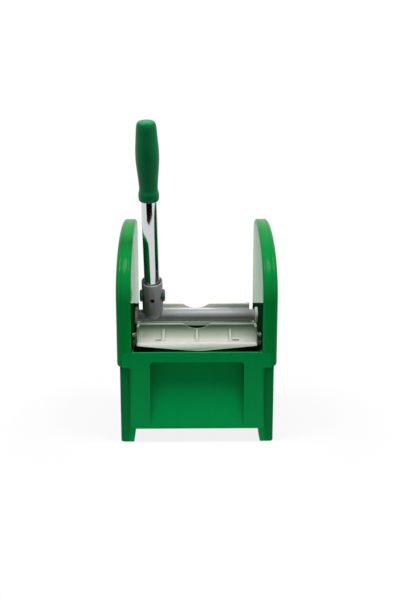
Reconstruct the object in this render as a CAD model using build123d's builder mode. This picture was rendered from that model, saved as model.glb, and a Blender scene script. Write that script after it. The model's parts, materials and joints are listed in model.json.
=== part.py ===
"""Down-press mop wringer: a green body, two tall gear housings, a lever and two sliding jaws.

Pulling the lever turns the torque bar. A pinion on each end of the bar moves a lower rack
back and an upper rack forward, and the racks draw the front and the rear jaw together
around the bar. Millimetres, X to the right, Y to the back, Z up, origin on the floor at
the middle of the footprint.
"""
import os
from math import acos, cos, hypot, pi, radians, sin, tan

from build123d import *

os.makedirs("parts", exist_ok=True)

# Body
body_width = 277.0
body_depth = 234.0
body_corner_radius = 7.0
body_wall = 3.2
leg_height = 26.0
leg_width = 27.5
leg_length = 32.0
leg_taper = 3.5
leg_sole_radius = 2.5
panel_inset = 17.5
panel_raise = 3.0
panel_corner_radius = 5.0
panel_edge_radius = 1.4
panel_lip = 1.6
panel_side_gap = 0.3
band_height = 27.5
band_edge_radius = 2.0
band_side_gap = 0.2
seat_height = 168.0
seat_flange_thickness = 3.5
seat_lip = 2.5
recess_inset = 37.0
recess_sill = 6.0
recess_header = 16.5
recess_depth = 25.0
recess_corner_radius = 7.0

# Side housings: heights here and below are measured from the seat on the body
housing_overhang = 4.5
housing_height = 216.0
arch_rise = 94.0
rear_corner_radius = 28.0
housing_wall = 3.0
shell_depth = 17.5
cover_depth = 9.0
cover_rim_wall = 5.0
inner_rim_radius = 5.5
outer_rim_radius = 7.6
cover_foot_radius = 9.0
seam_chamfer = 0.5

# Screws that close a housing, by distance from its front or rear and height, and seat screws
front_cover_screws = [(13, 38), (26, 120), (90, 174)]
rear_cover_screws = [(13, 38), (15, 142), (42, 196)]
cover_screw_radius = 2.0
cover_screw_head_radius = 4.0
cover_screw_head_height = 2.6
cover_screw_grip = 10.0
cover_screw_sink = 0.8
shell_boss_radius = 5.0
cover_boss_radius = 6.0
seat_screw_inset = 11.0
seat_screw_radius = 1.75
seat_screw_head_radius = 3.4
seat_screw_head_height = 2.4
seat_screw_grip = 9.0
seat_boss_radius = 3.2
seat_boss_height = 9.4
hex_key_size = 1.5
screw_clearance = 0.1

# Torque bar and its bushes
bar_rise = 42.0
bar_radius = 11.2
bar_shoulder_gap = 4.5
bar_bore_radius = 7.0
journal_radius = 10.0
journal_flat_depth = 2.5
bar_end_gap = 0.5
bush_flange_radius = 15.5
bush_wall = 2.5
bush_gap = 0.3
running_fit = 0.05

# Lever: places along it are measured from the bar's axis
lever_inset = 34.1
lever_lean = 15.0
lever_splay = 0.6
socket_radius = 19.6
socket_height = 73.3
socket_drop = 6.8
socket_base_radius = 19.0
socket_rim_tilt = 10.0
socket_rim_radius = 0.9
socket_throat_radius = 17.7
socket_throat_depth = 9.0
socket_throat_chamfer = 0.4
tube_radius = 14.3
tube_wall = 1.6
tube_start = 20.0
tube_fit = 0.3
grip_start = 231.4
grip_length = 142.9
grip_neck_radius = 17.3
grip_belly_radius = 21.1
grip_shoulder_radius = 18.8
grip_collar_radius = 18.9
grip_collar_length = 10.0
grip_neck_length = 13.7
grip_end_wall = 8.0
grip_end_radius = 7.0
grip_edge_radius = 3.6

# Lock buttons, measured along the lever and out from its axis
button_place = 42.3
button_head_radius = 11.6
button_top = 23.8
button_head_height = 5.9
button_stem_radius = 5.5
button_stem_end = 9.0
button_travel = 2.2
button_gap = 0.3
button_edge_radius = 3.0
spring_radius = 4.2
spring_wire_radius = 0.6
spring_turns = 5
set_screw_place = 39.6
set_screw_radius = 4.0
set_screw_sink = 1.2
set_screw_key = 4.0

# Rack and pinion gearing, and how far the lever turns from rest
lever_pull = 46.0
lever_push = 20.0
gear_module = 3.0
pinion_teeth = 18
pressure_angle = 20.0
gear_backlash = 0.3
gear_root_clearance = 0.25
layer_thickness = 6.0
layer_gap = 0.7
rack_teeth = 8
upper_rack_height = 9.0
rack_foot_margin = 3.0
rack_leg_width = 20.0
rail_height = 3.6
rail_gap = 0.4
rack_leg_gap = 1.4

# Jaws
jaw_end_gap = 9.0
jaw_end_thickness = 4.0
jaw_end_margin = 2.2
jaw_corner_radius = 10.0
jaw_rise = 46.5
jaw_height = 40.0
jaw_setback = 14.0
jaw_wall = 3.2
jaw_trough_depth = 20.0
jaw_trough_drop = 30.4
jaw_plate_drop = 7.5
jaw_plate_run = 22.0
jaw_plate_thickness = 4.0
jaw_flange_height = 6.0
jaw_flange_thickness = 3.0
jaw_skirt_thickness = 3.0
jaw_skirt_belly = 10.3
jaw_skirt_bend_radius = 200.0
jaw_rib_spacing = 60.0
jaw_rib_thickness = 4.4
jaw_rib_drop = 9.8
jaw_rib_reach = 3.0
jaw_rib_setback = 2.0
drain_length = 11.0
drain_width = 3.0
drain_inset = 8.0
notch_width = 50.0
notch_depth = 9.5
notch_shoulder_radius = 14.0
guide_rise = 9.5
guide_pin_inset = 27.0
guide_pin_spacing = 13.0
guide_pin_radius = 2.8
sleeve_radius = 4.2
sleeve_flange_radius = 5.2
sleeve_flange_thickness = 3.0
sleeve_gap = 1.0
slot_clearance = 0.3

# Places that follow from the sizes above
outer_face = body_width / 2 + housing_overhang
parting_x = outer_face - cover_depth
inner_face = parting_x - shell_depth
panel_width = body_width - 2 * panel_inset
recess_width = panel_width - 2 * recess_inset
recess_bottom = leg_height + recess_sill
recess_top = seat_height - recess_header
band_half_width = parting_x - band_side_gap
band_bottom = seat_height - band_height
cover_bottom = band_bottom + band_side_gap
front_plane_y = body_depth / 2 + panel_raise
half_depth = front_plane_y
housing_top = seat_height + housing_height
arch_start = seat_height + arch_rise
cavity_start = inner_face + housing_wall
cavity_end = outer_face - housing_wall
apex_y = half_depth - rear_corner_radius
bar_height = seat_height + bar_rise
bar_half_length = inner_face - bar_shoulder_gap
journal_half_length = cavity_end - bar_end_gap
bush_flange_start = bar_half_length + bush_gap
bush_sleeve_radius = journal_radius + running_fit + bush_wall
bush_end = cavity_start + bush_gap
pinion_radius = gear_module * pinion_teeth / 2
gear_pitch = pi * gear_module
tooth_foot = gear_module * (1 + gear_root_clearance)
pinion_start = bush_end + bush_gap
layer_a = pinion_start
layer_b = layer_a + layer_thickness + layer_gap
layer_end = layer_b + layer_thickness
lower_rack_top = bar_height - pinion_radius - tooth_foot
upper_rack_bottom = bar_height + pinion_radius + tooth_foot
upper_rack_top = upper_rack_bottom + upper_rack_height
rack_bottom = seat_height + housing_wall + rail_gap
lower_rack_height = lower_rack_top - rack_bottom
rack_reach = rack_teeth / 2 * gear_pitch
jaw_closing_travel = pinion_radius * radians(lever_pull)
jaw_opening_travel = pinion_radius * radians(lever_push)
jaw_half_length = inner_face - jaw_end_gap
jaw_top = seat_height + jaw_rise
jaw_bottom = jaw_top - jaw_height
jaw_ledge_height = jaw_top - jaw_trough_drop
jaw_flange_foot = jaw_ledge_height - jaw_flange_height
jaw_front = half_depth - jaw_setback
jaw_top_front = jaw_front - jaw_trough_depth
jaw_plate_top = jaw_top_front - jaw_wall / 2
jaw_plate_foot = jaw_plate_top - jaw_plate_run
guide_pin_y = jaw_front - guide_pin_inset
guide_pin_low = seat_height + guide_rise
guide_pin_high = guide_pin_low + guide_pin_spacing
foot_front = guide_pin_y + guide_pin_radius + rack_foot_margin
foot_back = guide_pin_y - guide_pin_radius - rack_foot_margin
foot_top = guide_pin_high + guide_pin_radius + rack_foot_margin
slot_front = guide_pin_y + jaw_opening_travel + sleeve_radius + slot_clearance
slot_back = guide_pin_y - jaw_closing_travel - sleeve_radius - slot_clearance
slot_height = 2 * (sleeve_radius + slot_clearance)
sleeve_start = jaw_half_length + sleeve_gap
cover_screw_places = [(inset - half_depth, seat_height + rise) for inset, rise in front_cover_screws]
cover_screw_places += [(half_depth - inset, seat_height + rise) for inset, rise in rear_cover_screws]
seat_screw_x = layer_a + layer_thickness / 2
seat_screw_y = half_depth - seat_screw_inset
seat_screw_places = [
    (-seat_screw_x, -seat_screw_y),
    (seat_screw_x, -seat_screw_y),
    (-seat_screw_x, seat_screw_y),
    (seat_screw_x, seat_screw_y),
]
rack_leg_start = pinion_radius + gear_module + jaw_closing_travel + rack_leg_gap
end_plate_start = jaw_half_length - jaw_end_thickness
lever_x = lever_inset - inner_face
lever_plane = Plane(origin=(lever_x, 0, bar_height)).rotated((lever_lean, -lever_splay, 0))
lever_axis = Axis(lever_plane.origin, lever_plane.z_dir)


def save(builder, name):
    """Label a finished piece and write it as one file."""
    builder.part.label = name
    export_step(builder.part, f"parts/{name}.step")


def mirror_and_save(builder, plane, name):
    """Write the opposite-hand copy of a piece."""
    with BuildPart() as opposite:
        mirror(builder.part, about=plane)
    save(opposite, name)


# Body: the water passes through it, so it is a tube with four legs and no floor
with BuildPart() as recess_pocket:
    with BuildSketch(Plane.XZ.offset(front_plane_y)):
        with Locations((0, (recess_top + recess_bottom) / 2)):
            RectangleRounded(recess_width, recess_top - recess_bottom, recess_corner_radius)
    extrude(amount=-recess_depth)
    with BuildSketch(Plane.YZ.offset(-recess_width)):
        with BuildLine():
            Polyline(
                (-front_plane_y, recess_bottom),
                (-front_plane_y + recess_depth, recess_top),
                (-front_plane_y, recess_top),
                close=True,
            )
        make_face()
    extrude(amount=2 * recess_width, mode=Mode.INTERSECT)

with BuildPart() as body_panel:
    with BuildSketch(Plane.XZ.offset(front_plane_y)):
        with Locations((0, (leg_height + seat_height) / 2)):
            RectangleRounded(panel_width, seat_height - leg_height, panel_corner_radius)
    extrude(amount=-panel_raise - body_wall)
    fillet(edges().group_by(Axis.Y)[0], panel_edge_radius)

# Corner legs, narrower at the sole
with BuildPart() as body_legs:
    with BuildSketch(Plane.XY):
        RectangleRounded(body_width, body_depth, body_corner_radius)
    extrude(amount=leg_height)
    for plane, size, leg in (
        (Plane.XZ, body_width, leg_width),
        (Plane.YZ, body_depth, leg_length),
    ):
        with BuildSketch(plane):
            with BuildLine():
                Polyline(
                    (leg - size / 2, leg_height),
                    (size / 2 - leg, leg_height),
                    (size / 2 - leg + leg_taper, 0),
                    (leg - leg_taper - size / 2, 0),
                    close=True,
                )
            make_face()
        extrude(amount=body_width, both=True, mode=Mode.SUBTRACT)
    fillet(edges().group_by(Axis.Z)[0], leg_sole_radius)

with BuildPart() as body:
    # Upper band that carries the housings, flush with the panels and between the covers
    with BuildSketch(Plane.XY.offset(band_bottom)):
        Rectangle(2 * band_half_width, 2 * front_plane_y)
    extrude(amount=band_height)
    fillet(edges().group_by(Axis.Z)[0].filter_by(Axis.X), band_edge_radius)
    chamfer(edges().filter_by(Axis.Z), seam_chamfer)
    with BuildSketch(Plane.XY.offset(leg_height)):
        RectangleRounded(body_width, body_depth, body_corner_radius)
    extrude(amount=band_bottom - leg_height)
    add(body_panel.part)
    mirror(body_panel.part, about=Plane.XZ)
    with BuildSketch(Plane.XY.offset(seat_height)):
        Rectangle(2 * (inner_face - panel_side_gap), 2 * front_plane_y)
    extrude(amount=panel_lip)
    fillet(edges().filter_by(Axis.X).group_by(Axis.Z)[-1], panel_edge_radius)
    # Hollow: the lower part and behind its panels, the way up into the band, the band, the mouth
    hollow_corner = body_corner_radius - body_wall
    shoulder_height = band_bottom - body_wall
    for bottom, half_width, height in (
        (leg_height, body_width / 2 - body_wall, shoulder_height - leg_height),
        (shoulder_height, band_half_width - body_wall, 2 * body_wall),
    ):
        with BuildSketch(Plane.XY.offset(bottom)):
            RectangleRounded(2 * half_width, body_depth - 2 * body_wall, hollow_corner)
            Rectangle(panel_width - 2 * body_wall, 2 * (front_plane_y - body_wall))
        extrude(amount=height, mode=Mode.SUBTRACT)
    for half_width, height in (
        (band_half_width - body_wall, band_height - body_wall - seat_flange_thickness),
        (inner_face - seat_lip, band_height + panel_lip),
    ):
        with BuildSketch(Plane.XY.offset(band_bottom + body_wall)):
            Rectangle(2 * half_width, 2 * (front_plane_y - body_wall))
        extrude(amount=height, mode=Mode.SUBTRACT)
    # Sloped walls behind the hand recesses
    for side in (-1, 1):
        with BuildSketch(Plane.YZ.offset(-recess_width / 2 - body_wall)):
            with BuildLine():
                Polyline(
                    (side * (front_plane_y - body_wall / 2), recess_bottom),
                    (side * (front_plane_y - recess_depth - body_wall), recess_top),
                    (side * (front_plane_y - recess_depth - body_wall), recess_top + body_wall),
                    (side * (front_plane_y - body_wall / 2), recess_top + body_wall),
                    close=True,
                )
            make_face()
        extrude(amount=recess_width + 2 * body_wall)
    add(recess_pocket.part, mode=Mode.SUBTRACT)
    add(mirror(recess_pocket.part, about=Plane.XZ, mode=Mode.PRIVATE), mode=Mode.SUBTRACT)
    add(body_legs.part)
    # Holes for the screws that come up into the housings
    with Locations(Plane.XY.offset(seat_height)):
        with Locations(*seat_screw_places):
            Hole(seat_screw_radius + screw_clearance, depth=seat_flange_thickness)
save(body, "body")


def housing_face(inset, bottom):
    """Side outline of a housing: upright front, long arch to the apex, rounded rear corner."""
    with BuildSketch() as outline:
        with BuildLine():
            Line((-half_depth + inset, bottom + inset), (-half_depth + inset, arch_start))
            EllipticalCenterArc(
                (apex_y, arch_start),
                apex_y + half_depth - inset,
                housing_top - arch_start - inset,
                start_angle=90,
                arc_size=90,
            )
            CenterArc(
                (apex_y, housing_top - rear_corner_radius), rear_corner_radius - inset, 0, 90
            )
            Polyline(
                (half_depth - inset, housing_top - rear_corner_radius),
                (half_depth - inset, bottom + inset),
                (-half_depth + inset, bottom + inset),
            )
        make_face()
    return outline.sketch


# Inner housing shells: the right one is drawn and the left one is its mirror image
slot_middle = (slot_front + slot_back) / 2
slot_places = [
    (place, height) for place in (-slot_middle, slot_middle) for height in (guide_pin_low, guide_pin_high)
]
with BuildPart() as inner_shell:
    with BuildSketch(Plane.YZ.offset(inner_face)):
        add(housing_face(0, seat_height))
    extrude(amount=shell_depth)
    fillet(edges().group_by(Axis.X)[0].sort_by(Axis.Z)[1:], inner_rim_radius)
    chamfer(edges().group_by(Axis.X)[-1].sort_by(Axis.Z)[1:], seam_chamfer)
    with BuildSketch(Plane.YZ.offset(cavity_start)):
        add(housing_face(housing_wall, seat_height))
    extrude(amount=shell_depth, mode=Mode.SUBTRACT)
    with BuildSketch(Plane.YZ.offset(cavity_start)):
        with Locations(*cover_screw_places):
            Circle(shell_boss_radius)
    extrude(amount=shell_depth - housing_wall)
    # Rail over the upper rack; the floor is the rail under the lower rack
    with BuildSketch(Plane.YZ.offset(cavity_start)):
        with Locations(((foot_front - rack_reach) / 2, upper_rack_top + rail_gap + rail_height / 2)):
            Rectangle(foot_front + rack_reach, rail_height)
    extrude(amount=layer_a + layer_thickness - cavity_start)
    # Floor bosses for the seat screws
    with BuildSketch(Plane.XY.offset(seat_height)):
        with Locations(*seat_screw_places[1::2]):
            Circle(seat_boss_radius)
    extrude(amount=seat_boss_height)
    with BuildSketch(Plane.XY.offset(seat_height)):
        with Locations(*seat_screw_places[1::2]):
            Circle(seat_screw_radius + screw_clearance)
    extrude(amount=seat_screw_grip + screw_clearance, mode=Mode.SUBTRACT)
    with BuildSketch(Plane.YZ.offset(parting_x)):
        with Locations(*cover_screw_places):
            Circle(cover_screw_radius + screw_clearance)
    extrude(amount=-cover_screw_grip - screw_clearance, mode=Mode.SUBTRACT)
    # Seat of the bar bush and guide slots of the jaws
    with BuildSketch(Plane.YZ.offset(inner_face)):
        with Locations((0, bar_height)):
            Circle(bush_sleeve_radius + running_fit)
        with Locations(*slot_places):
            SlotOverall(slot_front - slot_back, slot_height)
    extrude(amount=housing_wall, mode=Mode.SUBTRACT)
save(inner_shell, "inner_shell_right")
mirror_and_save(inner_shell, Plane.YZ, "inner_shell_left")

# Outer housing covers, which hang past the seat and hide the sides of the body's band
with BuildPart() as outer_cover:
    with BuildSketch(Plane.YZ.offset(parting_x)):
        add(housing_face(0, cover_bottom))
        fillet(vertices().group_by(Axis.Y)[0], cover_foot_radius)
    extrude(amount=cover_depth)
    fillet(edges().group_by(Axis.X)[-1], outer_rim_radius)
    chamfer(edges().group_by(Axis.X)[0], seam_chamfer)
    with BuildSketch(Plane.YZ.offset(parting_x)):
        add(housing_face(cover_rim_wall, cover_bottom))
        fillet(vertices().group_by(Axis.Y)[0], cover_foot_radius - cover_rim_wall)
    extrude(amount=cover_depth - housing_wall, mode=Mode.SUBTRACT)
    # Screw bosses and the boss that carries the end of the bar
    with BuildSketch(Plane.YZ.offset(parting_x)):
        with Locations(*cover_screw_places):
            Circle(cover_boss_radius)
        with Locations((0, bar_height)):
            Circle(bush_sleeve_radius)
    extrude(amount=cover_depth - housing_wall)
    with BuildSketch(Plane.YZ.offset(parting_x)):
        with Locations((0, bar_height)):
            Circle(journal_radius + running_fit)
    extrude(amount=cover_depth - housing_wall, mode=Mode.SUBTRACT)
    head_seat = outer_face - cover_screw_sink - cover_screw_head_height
    with BuildSketch(Plane.YZ.offset(parting_x)):
        with Locations(*cover_screw_places):
            Circle(cover_screw_radius + screw_clearance)
    extrude(amount=cover_depth, mode=Mode.SUBTRACT)
    with BuildSketch(Plane.YZ.offset(head_seat)):
        with Locations(*cover_screw_places):
            Circle(cover_screw_head_radius + screw_clearance)
    extrude(amount=cover_depth, mode=Mode.SUBTRACT)
save(outer_cover, "outer_cover_right")
mirror_and_save(outer_cover, Plane.YZ, "outer_cover_left")

# Cover screws: six socket screws for each housing
with BuildPart() as cover_screws:
    with BuildSketch(Plane.YZ.offset(parting_x - cover_screw_grip)):
        with Locations(*cover_screw_places):
            Circle(cover_screw_radius)
    extrude(amount=head_seat - parting_x + cover_screw_grip)
    with BuildSketch(Plane.YZ.offset(head_seat)):
        with Locations(*cover_screw_places):
            Circle(cover_screw_head_radius)
    extrude(amount=cover_screw_head_height)
    with BuildSketch(Plane.YZ.offset(head_seat + cover_screw_head_height)):
        with Locations(*cover_screw_places):
            RegularPolygon(hex_key_size, 6, major_radius=False)
    extrude(amount=-cover_screw_head_height / 2, mode=Mode.SUBTRACT)
save(cover_screws, "cover_screws_right")
mirror_and_save(cover_screws, Plane.YZ, "cover_screws_left")

# Seat screws: they come up through the body's flanges
flange_under = seat_height - seat_flange_thickness
with BuildPart() as seat_screws:
    with BuildSketch(Plane.XY.offset(flange_under)):
        with Locations(*seat_screw_places):
            Circle(seat_screw_radius)
    extrude(amount=seat_flange_thickness + seat_screw_grip)
    with BuildSketch(Plane.XY.offset(flange_under)):
        with Locations(*seat_screw_places):
            Circle(seat_screw_head_radius)
    extrude(amount=-seat_screw_head_height)
    with BuildSketch(Plane.XY.offset(flange_under - seat_screw_head_height)):
        with Locations(*seat_screw_places):
            RegularPolygon(hex_key_size, 6, major_radius=False)
    extrude(amount=seat_screw_head_height / 2, mode=Mode.SUBTRACT)
save(seat_screws, "seat_screws")

# Torque bar: a hollow bar with a journal at each end, flatted for its pinion
with BuildPart() as torque_bar:
    with BuildSketch(Plane.YZ.offset(-bar_half_length)):
        with Locations((0, bar_height)):
            Circle(bar_radius)
    extrude(amount=2 * bar_half_length)
    with BuildSketch(Plane.YZ.offset(-journal_half_length)):
        with Locations((0, bar_height)):
            Circle(journal_radius)
    extrude(amount=2 * journal_half_length)
    for flat_start in (pinion_start, -journal_half_length):
        with BuildSketch(Plane.YZ.offset(flat_start)):
            with Locations((0, bar_height + journal_radius)):
                Rectangle(2 * journal_radius, 2 * journal_flat_depth)
        extrude(amount=journal_half_length - pinion_start, mode=Mode.SUBTRACT)
    with BuildSketch(Plane.YZ.offset(-journal_half_length)):
        with Locations((0, bar_height)):
            Circle(bar_bore_radius)
    extrude(amount=2 * journal_half_length, mode=Mode.SUBTRACT)
save(torque_bar, "torque_bar")

# Flanged bushes that carry the bar in the inner shells
with BuildPart() as bar_bush:
    with BuildSketch(Plane.YZ.offset(bush_flange_start)):
        with Locations((0, bar_height)):
            Circle(bush_flange_radius)
    extrude(amount=inner_face - bush_flange_start)
    with BuildSketch(Plane.YZ.offset(bush_flange_start)):
        with Locations((0, bar_height)):
            Circle(bush_sleeve_radius)
    extrude(amount=bush_end - bush_flange_start)
    with BuildSketch(Plane.YZ.offset(bush_flange_start)):
        with Locations((0, bar_height)):
            Circle(journal_radius + running_fit)
    extrude(amount=bush_end - bush_flange_start, mode=Mode.SUBTRACT)
    fillet(edges().group_by(Axis.X)[0].sort_by(SortBy.RADIUS)[-1], bush_gap * 4)
save(bar_bush, "bar_bush_right")
mirror_and_save(bar_bush, Plane.YZ, "bar_bush_left")

# Pinion tooth with involute flanks, drawn along the sketch's first axis
base_radius = pinion_radius * cos(radians(pressure_angle))
tip_radius = pinion_radius + gear_module
root_radius = pinion_radius - tooth_foot


def involute(radius):
    """Angle by which an involute has turned away where it reaches a radius."""
    slant = acos(base_radius / radius)
    return tan(slant) - slant


def flank_point(radius, side):
    """Point of a tooth flank at a radius."""
    half_angle = (gear_pitch / 2 - gear_backlash) / (2 * pinion_radius)
    angle = side * (half_angle + involute(pinion_radius) - involute(radius))
    return (radius * cos(angle), radius * sin(angle))


flank_radii = [base_radius + (tip_radius - base_radius) * step / 3 for step in range(4)]
with BuildSketch() as pinion_tooth:
    with BuildLine():
        lower_flank = Spline(*[flank_point(radius, -1) for radius in flank_radii])
        upper_flank = Spline(*[flank_point(radius, 1) for radius in flank_radii])
        ThreePointArc(lower_flank @ 1, (tip_radius, 0), upper_flank @ 1)
        foot_half = (upper_flank @ 0).Y
        tooth_heel = root_radius - gear_module / 2
        Polyline(
            lower_flank @ 0, (tooth_heel, -foot_half), (tooth_heel, foot_half), upper_flank @ 0
        )
    make_face()

with BuildPart() as pinion:
    with BuildSketch(Plane.YZ.offset(pinion_start)):
        with Locations((0, bar_height)):
            Circle(root_radius)
            with PolarLocations(0, pinion_teeth, start_angle=90):
                add(pinion_tooth.sketch)
    extrude(amount=layer_end - pinion_start)
    with BuildSketch(Plane.YZ.offset(pinion_start)):
        with Locations((0, bar_height)):
            Circle(journal_radius + running_fit)
        with Locations((0, bar_height + journal_radius)):
            Rectangle(
                3 * journal_radius, 2 * (journal_flat_depth - running_fit), mode=Mode.SUBTRACT
            )
    extrude(amount=layer_end - pinion_start, mode=Mode.SUBTRACT)
save(pinion, "pinion_right")
mirror_and_save(pinion, Plane.YZ, "pinion_left")

# Racks: straight teeth that mesh with the pinion from below and from above
tooth_height = gear_module + tooth_foot
tooth_root_width = (
    gear_pitch / 2 - gear_backlash + 2 * tooth_foot * tan(radians(pressure_angle))
)
tooth_places = [(step + 0.5 - rack_teeth / 2) * gear_pitch for step in range(rack_teeth)]
foot_height = foot_top - rack_bottom

with BuildPart() as front_rack:
    with BuildSketch(Plane.YZ.offset(layer_b)):
        with Locations(((rack_reach - foot_front) / 2, (rack_bottom + lower_rack_top) / 2)):
            Rectangle(rack_reach + foot_front, lower_rack_height)
        with Locations((-(foot_front + foot_back) / 2, (rack_bottom + foot_top) / 2)):
            Rectangle(foot_front - foot_back, foot_height)
        with Locations(*[(place, lower_rack_top) for place in tooth_places]):
            Trapezoid(
                tooth_root_width,
                tooth_height,
                90 - pressure_angle,
                align=(Align.CENTER, Align.MIN),
            )
        with Locations((-guide_pin_y, guide_pin_low), (-guide_pin_y, guide_pin_high)):
            Circle(guide_pin_radius, mode=Mode.SUBTRACT)
    extrude(amount=layer_thickness)
save(front_rack, "front_rack_right")
mirror_and_save(front_rack, Plane.YZ, "front_rack_left")

with BuildPart() as rear_rack:
    with BuildSketch(Plane.YZ.offset(layer_a)):
        with Locations(((foot_front - rack_reach) / 2, (upper_rack_bottom + upper_rack_top) / 2)):
            Rectangle(rack_reach + foot_front, upper_rack_height)
        with Locations((rack_leg_start + rack_leg_width / 2, (rack_bottom + upper_rack_top) / 2)):
            Rectangle(rack_leg_width, upper_rack_top - rack_bottom)
        with Locations(((foot_front + rack_leg_start) / 2, (rack_bottom + foot_top) / 2)):
            Rectangle(foot_front - rack_leg_start, foot_height)
        with Locations(*[(place, upper_rack_bottom) for place in tooth_places]):
            Trapezoid(
                tooth_root_width,
                tooth_height,
                90 - pressure_angle,
                rotation=180,
                align=(Align.CENTER, Align.MIN),
            )
        with Locations((guide_pin_y, guide_pin_low), (guide_pin_y, guide_pin_high)):
            Circle(guide_pin_radius, mode=Mode.SUBTRACT)
    extrude(amount=layer_thickness)
save(rear_rack, "rear_rack_right")
mirror_and_save(rear_rack, Plane.YZ, "rear_rack_left")


# Front jaw: a trough that opens to the front, with a pressing plate down its back
plate_fall = jaw_height - jaw_plate_drop
plate_reach = jaw_plate_thickness * hypot(plate_fall, jaw_plate_run) / plate_fall
plate_start = jaw_top - jaw_plate_drop
end_plate_foot = guide_pin_low - guide_pin_radius - jaw_end_margin
skirt_face = jaw_front - jaw_flange_thickness
notch_radius = (notch_width**2 / 4 + notch_depth**2) / (2 * notch_depth)
with BuildPart() as front_jaw:
    with BuildSketch(Plane.YZ.offset(-jaw_half_length)):
        with Locations((-jaw_front, jaw_top)):
            Ellipse(jaw_trough_depth + jaw_wall, jaw_trough_drop + jaw_wall)
            Rectangle(jaw_front, jaw_height, align=(Align.MIN, Align.MAX), mode=Mode.INTERSECT)
        with BuildLine():
            Polyline(
                (-jaw_plate_top, plate_start),
                (-jaw_plate_foot, jaw_bottom),
                (-jaw_plate_foot - plate_reach, jaw_bottom),
                (-jaw_plate_top - plate_reach, plate_start),
                close=True,
            )
        make_face()
        with Locations((-jaw_front, jaw_top)):
            Ellipse(jaw_trough_depth, jaw_trough_drop, mode=Mode.SUBTRACT)
    extrude(amount=2 * jaw_half_length)
    # Front flange of the trough
    with BuildSketch(Plane.XZ.offset(jaw_front)):
        with Locations((0, jaw_ledge_height)):
            Rectangle(2 * jaw_half_length, jaw_flange_height, align=(Align.CENTER, Align.MAX))
    extrude(amount=-jaw_flange_thickness)
    # Skirt behind the flange, deepest at mid length, where its slopes meet in a soft bend
    with BuildSketch(Plane.XZ.offset(skirt_face)):
        with BuildLine():
            Polyline(
                (-jaw_half_length, jaw_flange_foot),
                (0, jaw_flange_foot - jaw_skirt_belly),
                (jaw_half_length, jaw_flange_foot),
                (jaw_half_length, jaw_ledge_height - jaw_wall / 3),
                (-jaw_half_length, jaw_ledge_height - jaw_wall / 3),
                close=True,
            )
        make_face()
        fillet(vertices().group_by(Axis.Y)[0], jaw_skirt_bend_radius)
    extrude(amount=-jaw_skirt_thickness)
    # End plates and ribs
    for end in (-jaw_half_length, end_plate_start):
        with BuildSketch(Plane.YZ.offset(end)):
            with BuildLine():
                Polyline(
                    (-jaw_top_front + jaw_wall, jaw_top),
                    (-jaw_front, jaw_top),
                    (-jaw_front, jaw_flange_foot),
                    (-jaw_top_front, end_plate_foot),
                    (-jaw_plate_foot, end_plate_foot),
                    (-jaw_plate_foot, jaw_bottom),
                    (-jaw_plate_top, plate_start),
                    close=True,
                )
            make_face()
            fillet(vertices().group_by(Axis.X)[0].sort_by(Axis.Y)[-1], jaw_corner_radius)
        extrude(amount=jaw_end_thickness)
    for rib_x in (-jaw_rib_spacing, 0, jaw_rib_spacing):
        with BuildSketch(Plane.YZ.offset(rib_x - jaw_rib_thickness / 2)):
            rib_top = jaw_top - jaw_rib_drop
            with BuildLine():
                Polyline(
                    (-jaw_plate_top, rib_top),
                    (-jaw_top_front - jaw_rib_reach, rib_top),
                    (-jaw_front + jaw_rib_setback, jaw_ledge_height),
                    (-jaw_front + jaw_rib_setback, jaw_ledge_height - jaw_wall / 2),
                    (-jaw_plate_top, jaw_ledge_height - jaw_wall / 2),
                    close=True,
                )
            make_face()
            with Locations((-jaw_front, jaw_top)):
                Ellipse(
                    jaw_trough_depth + jaw_wall / 2,
                    jaw_trough_drop + jaw_wall / 2,
                    mode=Mode.INTERSECT,
                )
        extrude(amount=jaw_rib_thickness)
    # Notch for the mop's handle, with rounded shoulders
    with BuildSketch(Plane.XZ.offset(jaw_plate_foot)):
        with Locations((0, jaw_top - notch_depth + notch_radius)):
            Circle(notch_radius)
        with Locations((0, jaw_top + notch_radius)):
            Rectangle(4 * notch_width, 2 * notch_radius)
        shoulders = vertices().filter_by_position(Axis.X, -notch_width, notch_width)
        fillet(shoulders, notch_shoulder_radius)
    extrude(amount=jaw_front, mode=Mode.SUBTRACT)
    # Drain slots outside the outer ribs
    drain_x = jaw_rib_spacing + jaw_rib_thickness + drain_length / 2
    with BuildSketch(Plane.XY.offset(jaw_flange_foot)):
        with Locations((-drain_x, drain_inset - jaw_front), (drain_x, drain_inset - jaw_front)):
            Rectangle(drain_length, drain_width)
    extrude(amount=jaw_trough_drop / 2, mode=Mode.SUBTRACT)
    # Holes for the guide pins
    for end in (-jaw_half_length, end_plate_start):
        with BuildSketch(Plane.YZ.offset(end)):
            with Locations((-guide_pin_y, guide_pin_low), (-guide_pin_y, guide_pin_high)):
                Circle(guide_pin_radius)
        extrude(amount=jaw_end_thickness, mode=Mode.SUBTRACT)
save(front_jaw, "front_jaw")
mirror_and_save(front_jaw, Plane.XZ, "rear_jaw")

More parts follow.
